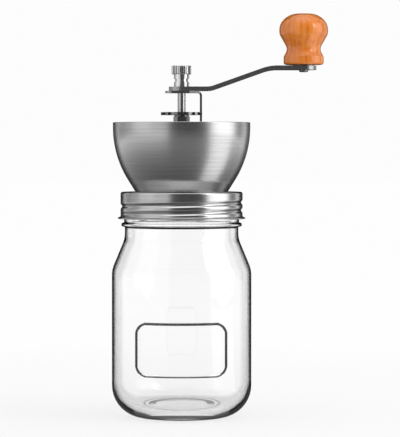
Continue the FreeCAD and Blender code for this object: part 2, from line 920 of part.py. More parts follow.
def biarc(start, heading, finish, leaving):
    """Two arcs that join two points with given directions and meet smoothly."""
    chord = finish - start
    both = heading + leaving
    across = chord.dot(both)
    spread = 2 * (1 - heading.dot(leaving))
    reach = (math.sqrt(across * across + spread * chord.dot(chord)) - across) / spread
    joint = (start + finish + (heading - leaving) * reach) * 0.5
    arcs = []
    for first, direction, last in ((start, heading, joint), (joint, None, finish)):
        if direction is None:
            direction = (finish - leaving * reach - joint).normalize()
        step = last - first
        sideways = step - direction * step.dot(direction)
        bend_radius = step.dot(step) / (2 * sideways.Length)
        centre = first + sideways.normalize() * bend_radius
        middle = (first + last) * 0.5 - centre
        arcs.append(Part.Arc(first, centre + middle.normalize() * bend_radius, last).toShape())
    return arcs


def burr_spring():
    """Coil spring between the housing's hub and the thrust washer, as one unbroken tube."""
    wire_radius = radius("spring_wire").number
    coil_radius = radius("spring_diameter").number
    turns = size("spring_turns").number
    gap = size("weld_clearance").number
    start = thrust_washer_top.number + wire_radius + gap
    finish = hub_bottom.number - wire_radius - gap
    rise = (finish - start) / turns
    edges = []
    for step in range(int(round(turns * ARCS_PER_TURN))):
        spot, heading = helix_point(step / ARCS_PER_TURN, start, rise, coil_radius)
        end, leaving = helix_point((step + 1) / ARCS_PER_TURN, start, rise, coil_radius)
        edges.extend(biarc(spot, heading, end, leaving))
    path = Part.Wire(edges)
    spot, heading = helix_point(0, start, rise, coil_radius)
    section = Part.Wire(Part.makeCircle(wire_radius, spot, heading))
    tube = path.makePipeShell([section], True, False)
    print(f"burr_spring: least gap between turns {rise - 2 * wire_radius:.2f} mm")
    item = doc.addObject("Part::Feature", "burr_spring")
    item.Shape = tube
    item.Placement = FreeCAD.Placement()
    item.Label = "burr_spring"
    return item


def drive_shaft():
    """Shaft with a collar over the burr and two flats that drive the arm."""
    bottom = burr_nut_bottom - size("shaft_tail")
    top = arm_top + size("cap_bore_depth") - size("free_clearance")
    collar = radius("collar_diameter")
    body = turned(
        "drive_shaft",
        [
            (ORIGIN, bottom),
            (shaft_radius, bottom),
            (shaft_radius, inner_burr_top),
            (collar, inner_burr_top),
            (collar, collar_top),
            (shaft_radius, collar_top),
            (shaft_radius, top),
            (ORIGIN, top),
        ],
    )
    sketch = new_sketch(body, "drive_shaft_flat_plan", "XY_Plane", top)
    half_flat = size("shaft_flat") / 2
    left, right = -shaft_radius, shaft_radius
    for near, far in ((half_flat, right), (left, -half_flat)):
        outline(sketch, [(left, near), (right, near), (right, far), (left, far)])
    extrude(body, "drive_shaft_flats", "PartDesign::Pocket", sketch, top - plate_bottom)
    return body


def shaft_keyhole(sketch):
    """Hole with two flats that fits the top of the shaft."""
    clear = size("seat_clearance")
    half_flat = size("shaft_flat") / 2 + clear
    reach = shaft_radius + clear
    side = root(reach * reach - half_flat * half_flat)
    base = sketch.GeometryCount
    low = FreeCAD.Vector(side.number, -half_flat.number, 0)
    high = FreeCAD.Vector(side.number, half_flat.number, 0)
    bulge = math.atan2(half_flat.number, side.number)
    full = Part.Circle(FreeCAD.Vector(), FreeCAD.Vector(0, 0, 1), reach.number)
    sketch.addGeometry(
        [
            Part.ArcOfCircle(full, -bulge, bulge),
            Part.LineSegment(high, FreeCAD.Vector(-high.x, high.y, 0)),
            Part.ArcOfCircle(full, math.pi - bulge, math.pi + bulge),
            Part.LineSegment(FreeCAD.Vector(-low.x, low.y, 0), low),
        ],
        False,
    )
    constraints = []
    bindings = []
    for step in range(4):
        constraints.append(Sketcher.Constraint("Coincident", base + step, 2, base + (step + 1) % 4, 1))
    for arc in (base, base + 2):
        constraints.append(Sketcher.Constraint("Coincident", arc, 3, -1, 1))
    for line in (base + 1, base + 3):
        constraints.append(Sketcher.Constraint("Horizontal", line))
    bindings.append((len(constraints), reach))
    constraints.append(Sketcher.Constraint("Radius", base, reach.number))
    bindings.append((len(constraints), half_flat))
    constraints.append(Sketcher.Constraint("DistanceY", -1, 1, base + 1, 1, half_flat.number))
    bindings.append((len(constraints), -half_flat))
    constraints.append(Sketcher.Constraint("DistanceY", -1, 1, base + 3, 1, -half_flat.number))
    bind(sketch, constraints, bindings)


def adjusting_wheel():
    """Notched disc with a hub that sets how far apart the burrs run. It turns just above the bush."""
    hub_foot = bush_top + size("weld_clearance")
    body = turned(
        "adjusting_wheel",
        [
            (shaft_bore, hub_foot),
            (radius("wheel_hub_diameter"), hub_foot),
            (radius("wheel_hub_diameter"), wheel_bottom),
            (wheel_radius, wheel_bottom),
            (wheel_radius, wheel_top),
            (shaft_bore, wheel_top),
        ],
    )
    sketch = new_sketch(body, "wheel_notch_plan", "XY_Plane", wheel_top)
    half = size("notch_width") / 2
    floor = wheel_radius - size("notch_depth")
    beyond = wheel_radius + size("notch_depth")
    outline(sketch, [(floor, -half), (beyond, -half), (beyond, half), (floor, half)])
    notch = extrude(body, "wheel_notch", "PartDesign::Pocket", sketch, size("wheel_thickness"))
    pattern(body, "wheel_notches", notch, size("notch_count"))
    return body


def bent_piece(name, side, plan, plan_bottom, plan_height, width, holes):
    """A flat piece bent along its length: its side view crossed with its plan."""
    strip = new_body(f"{name}_strip")
    side_sketch = new_sketch(strip, f"{name}_side", "XZ_Plane")
    outline(side_sketch, side)
    extrude(strip, f"{name}_bend", "PartDesign::Pad", side_sketch, width, symmetric=True)
    blank = new_body(f"{name}_blank")
    plan_sketch = new_sketch(blank, f"{name}_plan", "XY_Plane", plan_bottom)
    outline(plan_sketch, plan)
    for hole in holes:
        hole(plan_sketch)
    extrude(blank, f"{name}_cutter", "PartDesign::Pad", plan_sketch, plan_height)
    common = doc.addObject("Part::Common", name)
    common.Base = strip
    common.Tool = blank
    common.Label = name
    return common


def lock_plate():
    """Plate under the arm whose bent leg sits in a notch of the wheel."""
    thickness = size("plate_thickness")
    leg_outside = wheel_radius - size("leg_inset")
    leg_inside = leg_outside - thickness
    leg_bottom = wheel_bottom - size("leg_reach") + size("plate_thickness")
    tail = size("plate_tail")
    half_width = size("plate_width") / 2
    half_leg = size("notch_width") / 2 - size("leg_clearance")
    bend = size("plate_bend")
    side = [
        (-tail, plate_bottom),
        (leg_inside, plate_bottom, bend - thickness),
        (leg_inside, leg_bottom),
        (leg_outside, leg_bottom),
        (leg_outside, arm_bottom, bend),
        (-tail, arm_bottom),
    ]
    plan = [
        (-tail, -half_width, size("plate_round")),
        (half_width, -half_width),
        (leg_inside, -half_leg),
        (leg_outside + thickness, -half_leg),
        (leg_outside + thickness, half_leg),
        (leg_inside, half_leg),
        (half_width, half_width),
        (-tail, half_width, size("plate_round")),
    ]
    height = arm_top - leg_bottom
    return bent_piece("lock_plate", side, plan, leg_bottom, height, size("plate_width"), [shaft_keyhole])


def crank_arm():
    """Flat bar with two bends from the shaft up to the knob."""
    thickness = size("arm_thickness")
    half_width = size("arm_width") / 2
    reach = size("arm_reach")
    bend_start, bend_end = size("arm_bend_start"), size("arm_bend_end")
    slope = size("arm_rise") / (bend_end - bend_start)
    shift = thickness * (root(slope * slope + 1) - 1) / slope
    low_bend, high_bend = size("arm_low_bend"), size("arm_high_bend")
    side = [
        (-half_width, arm_bottom),
        (bend_start, arm_bottom, low_bend + thickness),
        (bend_end, high_bottom, high_bend),
        (reach + half_width, high_bottom),
        (reach + half_width, high_top),
        (bend_end - shift, high_top, high_bend + thickness),
        (bend_start - shift, arm_top, low_bend),
        (-half_width, arm_top),
    ]
    end_round = half_width - size("running_clearance")
    plan = [
        (-half_width, -half_width, end_round),
        (reach + half_width, -half_width, end_round),
        (reach + half_width, half_width, end_round),
        (-half_width, half_width, end_round),
    ]

    def pin_hole(sketch):
        circle(sketch, reach, 0, pin_radius + size("seat_clearance"))

    height = high_top - arm_bottom
    holes = [shaft_keyhole, pin_hole]
    return bent_piece("crank_arm", side, plan, arm_bottom, height, size("arm_width"), holes)


def cap_nut():
    """Domed nut with a fluted head that clamps the arm."""
    head, foot = radius("cap_head_diameter"), radius("cap_body_diameter")
    waist = radius("cap_waist_diameter")
    head_bottom = cap_top - size("cap_head_height")
    waist_bottom = arm_top + size("cap_body_height")
    waist_top = waist_bottom + size("cap_waist_height")
    bore = shaft_radius + size("seat_clearance")
    bore_top = arm_top + size("cap_bore_depth")
    edge = size("cap_edge")
    body = turned(
        "cap_nut",
        [
            (bore, arm_top),
            (foot, arm_top),
            (foot, waist_bottom),
            (waist, waist_bottom),
            (waist, waist_top),
            (foot, waist_top),
            (foot, head_bottom),
            (head, head_bottom, edge),
            (head, cap_top, edge),
            (ORIGIN, cap_top),
            (ORIGIN, bore_top),
            (bore, bore_top),
        ],
    )
    sketch = new_sketch(body, "cap_flute_plan", "XY_Plane", cap_top)
    depth = size("cap_flute_depth")
    outline(sketch, [(head - depth, 0), (head + depth, -depth * 2), (head + depth, depth * 2)])
    flute = extrude(body, "cap_flute", "PartDesign::Pocket", sketch, size("cap_head_height"))
    pattern(body, "cap_flutes", flute, size("cap_flutes"))
    return body


def knob():
    """Turned wooden knob with a base ring, a waist and a domed top, bored blind."""
    base, bulge = radius("knob_base_diameter"), radius("knob_diameter")
    waist = radius("knob_waist_diameter")
    bore = radius("knob_bush_diameter") + size("seat_clearance")
    base_height = size("knob_base_height")
    height = size("knob_height")
    edge = size("knob_base_round")
    body = turned(
        "knob",
        [
            (bore, ORIGIN),
            (base, ORIGIN, edge),
            (base, base_height, edge),
            (waist, size("knob_waist_level"), size("knob_waist_round")),
            (bulge, size("knob_bulge_level"), size("knob_bulge_round")),
            (bulge, size("knob_shoulder_level"), size("knob_shoulder_round")),
            (radius("knob_crown_diameter"), height, size("knob_crown_round")),
            (ORIGIN, height),
            (ORIGIN, size("knob_bore_depth")),
            (bore, size("knob_bore_depth")),
        ],
    )
    return place(body, size("arm_reach"), ORIGIN, knob_bottom)


def knob_bush():
    """Sleeve pressed into the knob, which turns on the pin."""
    inner = pin_radius + size("running_clearance")
    return ring(
        "knob_bush",
        radius("knob_bush_diameter"),
        inner,
        knob_bottom,
        size("knob_bush_height"),
        size("arm_reach"),
    )


def knob_pin():
    """Headed pin riveted through the end of the arm."""
    tail, head = radius("pin_tail_diameter"), radius("pin_head_diameter")
    head_bottom = size("knob_bush_height") + size("free_clearance") + knob_bottom - high_bottom
    head_top = head_bottom + size("pin_head_height")
    body = turned(
        "knob_pin",
        [
            (ORIGIN, -size("pin_tail_height")),
            (tail, -size("pin_tail_height"), size("pin_tail_round")),
            (tail, ORIGIN),
            (pin_radius, ORIGIN),
            (pin_radius, head_bottom),
            (head, head_bottom),
            (head, head_top),
            (ORIGIN, head_top),
        ],
    )
    return place(body, size("arm_reach"), ORIGIN, high_bottom)


def knob_washer():
    """Dark washer between the arm and the knob."""
    bore = pin_radius + size("seat_clearance")
    return ring(
        "knob_washer",
        radius("knob_washer_diameter"),
        bore,
        high_top,
        size("knob_washer_thickness"),
        size("arm_reach"),
    )


nodes = [
    glass_jar(),
    jar_seal(),
    screw_band(),
    hopper_bowl(),
    bridge(),
    upper_bush(),
    bush_nut(),
    burr_housing(),
    screws("housing_screws", bowl_floor, upwards=False),
    lower_bush(),
    outer_burr(),
    burr_retainer(),
    screws("retainer_screws", retainer_bottom, upwards=True),
    inner_burr(),
    burr_washer(),
    burr_nut(),
    burr_spring(),
    thrust_washer(),
    drive_shaft(),
    adjusting_wheel(),
    lock_plate(),
    crank_arm(),
    cap_nut(),
    knob(),
    knob_bush(),
    knob_pin(),
    knob_washer(),
]
doc.recompute()

faults = []
for item in doc.Objects:
    if "Invalid" in item.State or "Error" in item.State:
        faults.append(f"{item.Name} is {item.State}")
for node in nodes:
    if node.Shape.isNull() or not node.Shape.isValid():
        faults.append(f"{node.Label} has no valid shape")
if faults:
    raise SystemExit("; ".join(faults))

os.makedirs("parts", exist_ok=True)
for node in nodes:
    node.Shape.exportStep(os.path.join("parts", f"{node.Label}.step"))
    print(f"{node.Label}: {len(node.Shape.Solids)} solid(s), {node.Shape.Volume:.1f} mm3")
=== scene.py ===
import math

import bmesh
import bpy
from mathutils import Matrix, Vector


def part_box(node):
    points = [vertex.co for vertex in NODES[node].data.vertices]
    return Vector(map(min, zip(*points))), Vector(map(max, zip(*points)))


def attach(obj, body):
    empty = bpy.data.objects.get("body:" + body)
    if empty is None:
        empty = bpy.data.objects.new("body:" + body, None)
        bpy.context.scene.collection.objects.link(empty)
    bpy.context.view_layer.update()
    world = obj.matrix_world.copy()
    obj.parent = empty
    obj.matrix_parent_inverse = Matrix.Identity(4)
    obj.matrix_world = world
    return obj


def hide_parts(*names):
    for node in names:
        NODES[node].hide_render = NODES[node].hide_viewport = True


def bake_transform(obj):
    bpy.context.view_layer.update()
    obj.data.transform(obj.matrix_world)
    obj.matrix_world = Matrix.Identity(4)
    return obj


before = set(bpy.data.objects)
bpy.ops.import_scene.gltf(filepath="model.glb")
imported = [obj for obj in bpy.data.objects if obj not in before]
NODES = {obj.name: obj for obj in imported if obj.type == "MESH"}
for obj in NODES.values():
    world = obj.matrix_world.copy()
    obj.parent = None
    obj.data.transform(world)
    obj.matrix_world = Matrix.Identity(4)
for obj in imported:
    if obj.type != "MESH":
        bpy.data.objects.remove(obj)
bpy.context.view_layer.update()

# Hand crank coffee grinder on a glass jar. Shapes are given in millimetres and built in metres.
MM = 0.001


# Shape helpers

MERGE_DISTANCE = 1e-6
SHORTEST_EDGE = 1e-7


def level(node, top):
    """The lowest or highest level of a CAD node, in millimetres."""
    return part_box(node)[1 if top else 0][2] / MM


def rounded(corners, steps=8):
    """An open outline through corners (radius, level) or (radius, level, rounding), with arcs as points."""
    points = []
    for index, corner in enumerate(corners):
        spot = Vector(corner[:2])
        if len(corner) < 3:
            points.append(tuple(spot))
            continue
        back = (Vector(corners[index - 1][:2]) - spot).normalized()
        ahead = (Vector(corners[index + 1][:2]) - spot).normalized()
        half = back.angle(ahead) / 2
        centre = spot + (back + ahead).normalized() * (corner[2] / math.sin(half))
        start = spot + back * (corner[2] / math.tan(half)) - centre
        turn = start.angle_signed(spot + ahead * (corner[2] / math.tan(half)) - centre)
        for step in range(steps + 1):
            angle = -turn * step / steps
            across = start.x * math.cos(angle) - start.y * math.sin(angle)
            up = start.x * math.sin(angle) + start.y * math.cos(angle)
            points.append((centre.x + across, centre.y + up))
    return points


def refined(points, longest):
    """The same outline with no step longer than a given length."""
    fine = [points[0]]
    for start, end in zip(points, points[1:]):
        count = max(1, math.ceil(math.dist(start, end) / longest))
        for step in range(1, count + 1):
            share = step / count
            fine.append((start[0] + (end[0] - start[0]) * share, start[1] + (end[1] - start[1]) * share))
    return fine


def even_angles(count):
    """Angles spread evenly round the axis."""
    return [2 * math.pi * index / count for index in range(count)]


def on_radius(across, radius):
    """Whether a point of an outline lies on a radius."""
    return abs(across - radius) < 0.01


def mesh_object(name, vertices, faces, sharp=40):
    """A mesh with doubled points merged and normals outwards, smooth but for edges over an angle."""
    mesh = bpy.data.meshes.new(name)
    mesh.from_pydata(vertices, [], faces)
    work = bmesh.new()
    work.from_mesh(mesh)
    bmesh.ops.remove_doubles(work, verts=work.verts, dist=MERGE_DISTANCE)
    bmesh.ops.dissolve_degenerate(work, dist=SHORTEST_EDGE, edges=work.edges)
    bmesh.ops.recalc_face_normals(work, faces=work.faces)
    work.to_mesh(mesh)
    work.free()
    mesh.polygons.foreach_set("use_smooth", [True] * len(mesh.polygons))
    mesh.set_sharp_from_angle(angle=math.radians(sharp))
    piece = bpy.data.objects.new(name, mesh)
    bpy.context.scene.collection.objects.link(piece)
    return piece


def lathe(name, outline, angles, bulge=None, closed=True, centre=(0, 0), sharp=40):
    """Turn an outline round an upright axis. bulge(radius, level, angle) gives a point's own radius."""
    vertices = []
    for angle in angles:
        for across, up in outline:
            reach = bulge(across, up, angle) if bulge else across
            x = centre[0] + reach * math.cos(angle)
            y = centre[1] + reach * math.sin(angle)
            vertices.append((x * MM, y * MM, up * MM))
    size = len(outline)
    faces = []
    for turn in range(len(angles)):
        here = turn * size
        there = (turn + 1) % len(angles) * size
        for index in range(size if closed else size - 1):
            after = (index + 1) % size
            faces.append((here + index, there + index, there + after, here + after))
    return mesh_object(name, vertices, faces, sharp)


def dress(piece, node, body, material):
    """A piece that stands for a CAD node, rides on its body and has a finish."""
    piece.data.materials.clear()
    piece.data.materials.append(material)
    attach(piece, body)
    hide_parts(node)


# Materials

def new_material(name):
    """A material with a principled shader, and a function that adds a node to it."""
    material = bpy.data.materials.new(name)
    material.use_nodes = True
    tree = material.node_tree
    shader = tree.nodes["Principled BSDF"]

    def add(kind, **values):
        node = tree.nodes.new(kind)
        for key, value in values.items():
            if hasattr(node, key):
                setattr(node, key, value)
            else:
                node.inputs[key].default_value = value
        return node

    return material, tree, shader, add


def join(tree, source, target):
    """Link an output to an input."""
    tree.links.new(source, target)


def stretched_noise(tree, add, stretch, scale, detail=4.0, roughness=0.55):
    """Noise in the object's own space, stretched by a scale for each axis."""
    place = add("ShaderNodeTexCoord")
    mapping = add("ShaderNodeMapping")
    mapping.inputs["Scale"].default_value = stretch
    join(tree, place.outputs["Object"], mapping.inputs["Vector"])
    noise = add("ShaderNodeTexNoise", Scale=scale, Detail=detail, Roughness=roughness)
    join(tree, mapping.outputs["Vector"], noise.inputs["Vector"])
    return noise.outputs["Fac"]


def ramp(tree, add, source, stops):
    """A colour ramp fed by a value."""
    node = add("ShaderNodeValToRGB")
    elements = node.color_ramp.elements
    while len(elements) < len(stops):
        elements.new(0.5)
    for element, (position, colour) in zip(elements, stops):
        element.position = position
        element.color = (*colour, 1)
    join(tree, source, node.inputs["Fac"])
    return node.outputs["Color"]


def multiplied(tree, add, first, second, factor):
    """One colour multiplied by a share of another."""
    mix = add("ShaderNodeMix", data_type="RGBA", blend_type="MULTIPLY")
    mix.inputs["Factor"].default_value = factor
    join(tree, first, mix.inputs["A"])
    join(tree, second, mix.inputs["B"])
    return mix.outputs["Result"]


def set_roughness(tree, add, shader, source, low, high):
    """Roughness that follows a value from 0 to 1 over a range."""
    node = add("ShaderNodeMapRange")
    node.inputs["To Min"].default_value = low
    node.inputs["To Max"].default_value = high
    join(tree, source, node.inputs["Value"])
    join(tree, node.outputs["Result"], shader.inputs["Roughness"])


def relief(tree, add, shader, source, strength, distance):
    """Bump from a value."""
    bump = add("ShaderNodeBump", Strength=strength, Distance=distance)
    join(tree, source, bump.inputs["Height"])
    join(tree, bump.outputs["Normal"], shader.inputs["Normal"])


def grey(value):
    """A neutral colour."""
    return (value, value, value)


def turned_steel(name, base, roughness, lines):
    """Steel with fine brushing that runs round the axis."""
    material, tree, shader, add = new_material(name)
    brushing = stretched_noise(tree, add, stretch=(3, 3, lines), scale=6.0)
    clouds = stretched_noise(tree, add, stretch=(30, 30, 30), scale=1.0, detail=2.0)
    colour = ramp(tree, add, brushing, [(0.3, grey(base * 0.86)), (0.7, grey(base * 1.08))])
    join(tree, colour, shader.inputs["Base Color"])
    set_roughness(tree, add, shader, clouds, low=roughness * 0.85, high=roughness * 1.2)
    shader.inputs["Metallic"].default_value = 1
    shader.inputs["Anisotropic"].default_value = 0.55
    tangent = add("ShaderNodeTangent", direction_type="RADIAL", axis="Z")
    join(tree, tangent.outputs["Tangent"], shader.inputs["Tangent"])
    relief(tree, add, shader, brushing, strength=0.06, distance=0.0002)
    return material


def polished_steel(name, base, roughness):
    """Bright steel with faint rubbing marks."""
    material, tree, shader, add = new_material(name)
    marks = stretched_noise(tree, add, stretch=(900, 60, 60), scale=3.0)
    clouds = stretched_noise(tree, add, stretch=(60, 60, 60), scale=1.5, detail=3.0)
    colour = ramp(tree, add, clouds, [(0.3, grey(base * 0.9)), (0.7, grey(base * 1.06))])
    join(tree, colour, shader.inputs["Base Color"])
    set_roughness(tree, add, shader, marks, low=roughness * 0.7, high=roughness * 1.4)
    shader.inputs["Metallic"].default_value = 1
    relief(tree, add, shader, marks, strength=0.03, distance=0.0001)
    return material


def varnished_wood():
    """Orange beech under varnish: upright grain, short flecks and a soft sheen."""
    material, tree, shader, add = new_material("varnished_wood")
    grain = stretched_noise(tree, add, stretch=(260, 260, 16), scale=2.2, detail=6.0, roughness=0.6)
    flecks = stretched_noise(tree, add, stretch=(900, 900, 110), scale=1.6, detail=3.0, roughness=0.7)
    tone = stretched_noise(tree, add, stretch=(40, 40, 10), scale=1.2, detail=2.0)
    body = ramp(
        tree,
        add,
        grain,
        [(0.25, (0.60, 0.135, 0.008)), (0.5, (0.80, 0.220, 0.016)), (0.78, (0.92, 0.32, 0.040))],
    )
    dark = ramp(tree, add, flecks, [(0.60, grey(1.0)), (0.72, (0.72, 0.60, 0.50))])
    flecked = multiplied(tree, add, body, dark, factor=0.6)
    warm = ramp(tree, add, tone, [(0.3, (0.90, 0.86, 0.82)), (0.7, (1.06, 1.06, 1.06))])
    toned = multiplied(tree, add, flecked, warm, factor=1.0)
    join(tree, toned, shader.inputs["Base Color"])
    set_roughness(tree, add, shader, grain, low=0.3, high=0.46)
    shader.inputs["Specular IOR Level"].default_value = 0.2
    shader.inputs["Coat Weight"].default_value = 1.0
    shader.inputs["Coat Roughness"].default_value = 0.17
    relief(tree, add, shader, flecks, strength=0.12, distance=0.0002)
    return material


def clear_glass(name, face_on, edge_on):
    """Thick pressed glass: clear face on, with painted shade that darkens it where it is seen edge on, and
    a slight waviness.
    """
    material, tree, shader, add = new_material(name)
    # Painted shade: the glass colour darkens towards edge-on views, standing in for the dark outlines at
    # the glass's edges.
    edge = add("ShaderNodeLayerWeight", Blend=0.5)
    painted_edge_shade = ramp(
        tree,
        add,
        edge.outputs["Facing"],
        [(0.54, grey(face_on)), (0.67, grey((face_on + edge_on) / 3)), (0.77, grey(edge_on))],
    )
    join(tree, painted_edge_shade, shader.inputs["Base Color"])
    shader.inputs["Transmission Weight"].default_value = 1
    shader.inputs["Roughness"].default_value = 0.0
    shader.inputs["IOR"].default_value = 1.5
    waves = stretched_noise(tree, add, stretch=(30, 30, 18), scale=1.0, detail=2.0)
    relief(tree, add, shader, waves, strength=0.10, distance=0.002)
    return material


def moulded(name, colour, roughness, grain):
    """Moulded or fired material with a fine grain."""
    material, tree, shader, add = new_material(name)
    speckle = stretched_noise(tree, add, stretch=(grain, grain, grain), scale=1.0, detail=5.0)
    dark = tuple(channel * 0.82 for channel in colour)
    body = ramp(tree, add, speckle, [(0.3, dark), (0.7, colour)])
    join(tree, body, shader.inputs["Base Color"])
    set_roughness(tree, add, shader, speckle, low=roughness * 0.8, high=roughness * 1.2)
    relief(tree, add, shader, speckle, strength=0.15, distance=0.0002)
    return material


def turned_brass():
    """Turned brass with fine rings."""
    material, tree, shader, add = new_material("turned_brass")
    rings = stretched_noise(tree, add, stretch=(8, 8, 1500), scale=2.0)
    body = ramp(tree, add, rings, [(0.3, (0.62, 0.42, 0.16)), (0.7, (0.80, 0.58, 0.26))])
    join(tree, body, shader.inputs["Base Color"])
    set_roughness(tree, add, shader, rings, low=0.22, high=0.38)
    shader.inputs["Metallic"].default_value = 1
    return material


# Each glass's edge_on value sets how dark its painted edge shade is; the inner faces get a lighter one.
GLASS = clear_glass("clear_glass", face_on=0.99, edge_on=0.004)
INNER_GLASS = clear_glass("inner_glass", face_on=0.99, edge_on=0.7)
# Near-black glass paints the shade lines along the raised label frame and in a band under the bead.
SHADE_LINE_GLASS = clear_glass("painted_shade_line", face_on=0.004, edge_on=0.004)
# The stippled bearing ring is darker glass: partly its own stippled look, partly painted shade where the
# jar stands on the floor.
STIPPLED_SHADED_GLASS = clear_glass("stippled_shaded_glass", face_on=0.16, edge_on=0.02)
BOWL_STEEL = turned_steel("bowl_steel", base=0.52, roughness=0.24, lines=900)
BAND_STEEL = turned_steel("band_steel", base=0.50, roughness=0.20, lines=500)
BRIGHT_STEEL = polished_steel("bright_steel", base=0.46, roughness=0.2)
ARM_STEEL = polished_steel("arm_steel", base=0.36, roughness=0.3)
CAP_STEEL = polished_steel("cap_steel", base=0.72, roughness=0.2)
DARK_STEEL = polished_steel("dark_steel", base=0.10, roughness=0.35)
WHEEL_STEEL = polished_steel("wheel_steel", base=0.24, roughness=0.28)
SPRING_STEEL = polished_steel("spring_steel", base=0.40, roughness=0.3)
WOOD = varnished_wood()
CERAMIC = moulded("fired_ceramic", colour=(0.86, 0.85, 0.81), roughness=0.5, grain=900)
BLACK_PLASTIC = moulded("black_plastic", colour=(0.035, 0.035, 0.038), roughness=0.45, grain=1400)
SILICONE = moulded("silicone", colour=(0.80, 0.80, 0.78), roughness=0.6, grain=700)
BRASS = turned_brass()


# Threads

THREAD_PITCH = 5.0
THREAD_RUN_OUT = 0.08


def hump(offset, half_width):
    """A smooth rise from 0 to 1 and back over a width."""
    share = min(abs(offset) / half_width, 1)
    return 0.5 + 0.5 * math.cos(math.pi * share)


def helix_offset(up, angle, start_angle, start_level, turns):
    """Distance up from the nearest turn of a thread, and how near its ends are, from 0 to 1."""
    best, ends = math.inf, 0.0
    base = (angle - start_angle) % (2 * math.pi)
    for turn in range(int(turns) + 2):
        travel = base / (2 * math.pi) + turn
        offset = up - (start_level + THREAD_PITCH * travel)
        if travel <= turns and abs(offset) < abs(best):
            best = offset
            ends = min(travel, turns - travel, THREAD_RUN_OUT) / THREAD_RUN_OUT
    return best, ends


# Glass jar

JAR_RADIUS = 44.0
JAR_WALL = 3.0
JAR_FLOOR = 5.0
HEEL = 20.0
RING_INSIDE = 21.5
RING_WIDTH = 4.0
PUNT = 2.5
PUNT_RAMP = 5.0
NECK = 35.8
BEAD = 38.0
FINISH = 36.3
MOUTH = 32.0
SHOULDER_BEND = 18.0
INNER_SHOULDER_DROP = 1.0
JAR_THREAD_TURNS = 1.25
JAR_THREAD_RISE = 1.3
JAR_THREAD_HALF_WIDTH = 1.5
SIDE_STEP = 0.4
FINISH_STEP = 0.5
PLAIN_STEP = 3.0

LIP = level("glass_jar", True)
SHOULDER_FOOT = LIP - 47.0
SHOULDER_HEAD = LIP - 27.3
BEAD_BOTTOM = LIP - 19.8
BEAD_TOP = BEAD_BOTTOM + 2.3
THREAD_START = LIP - 12.3

FRONT = -math.pi / 2
FRONT_COLUMNS = 200
PLAIN_COLUMNS = 150
LABEL_WIDTH = 55.6
LABEL_LOW = 28.7
LABEL_HIGH = 61.5
LABEL_ROUND = 7.0
LABEL_LINE = 1.7
LABEL_RISE = 0.8
LABEL_MARGIN = 0.1

SHADE_LINE_INDEX, INNER_INDEX, STIPPLED_SHADED_INDEX = 1, 2, 3


def label_distance(across, up):
    """Distance of a point on the jar's front from the line of the rounded label frame."""
    half_width, half_height = LABEL_WIDTH / 2, (LABEL_HIGH - LABEL_LOW) / 2
    out_x = abs(across) - (half_width - LABEL_ROUND)
    out_y = abs(up - (LABEL_HIGH + LABEL_LOW) / 2) - (half_height - LABEL_ROUND)
    outside = math.hypot(max(out_x, 0), max(out_y, 0)) + min(max(out_x, out_y), 0)
    return abs(outside - LABEL_ROUND)


def jar_outline():
    """The jar's section: base, heel, side, shoulder, neck and bead outside, then down the inside."""
    inside = JAR_RADIUS - JAR_WALL
    slope = (SHOULDER_HEAD - SHOULDER_FOOT) / (JAR_RADIUS - NECK)
    inner_foot = SHOULDER_FOOT - INNER_SHOULDER_DROP
    inner_head = inner_foot + slope * (inside - MOUTH)
    coarse = rounded(
        [
            (0, PUNT),
            (RING_INSIDE - PUNT_RAMP, PUNT, 3),
            (RING_INSIDE, 0, 0.6),
            (JAR_RADIUS, 0, HEEL),
            (JAR_RADIUS, SHOULDER_FOOT, SHOULDER_BEND),
            (NECK, SHOULDER_HEAD, SHOULDER_BEND),
            (NECK, BEAD_BOTTOM, 0.8),
            (BEAD, BEAD_BOTTOM, 0.9),
            (BEAD, BEAD_TOP, 0.9),
            (FINISH, BEAD_TOP, 0.8),
            (FINISH, LIP, 1.2),
            (MOUTH, LIP, 1.2),
            (MOUTH, inner_head, SHOULDER_BEND),
            (inside, inner_foot, SHOULDER_BEND - JAR_WALL),
            (inside, JAR_FLOOR, HEEL - JAR_WALL),
            (0, JAR_FLOOR),
        ],
        steps=10,
    )
    outline = []
    for start, end in zip(coarse, coarse[1:]):
        longest = PLAIN_STEP
        if on_radius(start[0], JAR_RADIUS) and on_radius(end[0], JAR_RADIUS):
            longest = SIDE_STEP
        elif on_radius(start[0], FINISH) and on_radius(end[0], FINISH):
            longest = FINISH_STEP
        outline.extend(refined([start, end], longest)[:-1])
    outline.append(coarse[-1])
    return outline


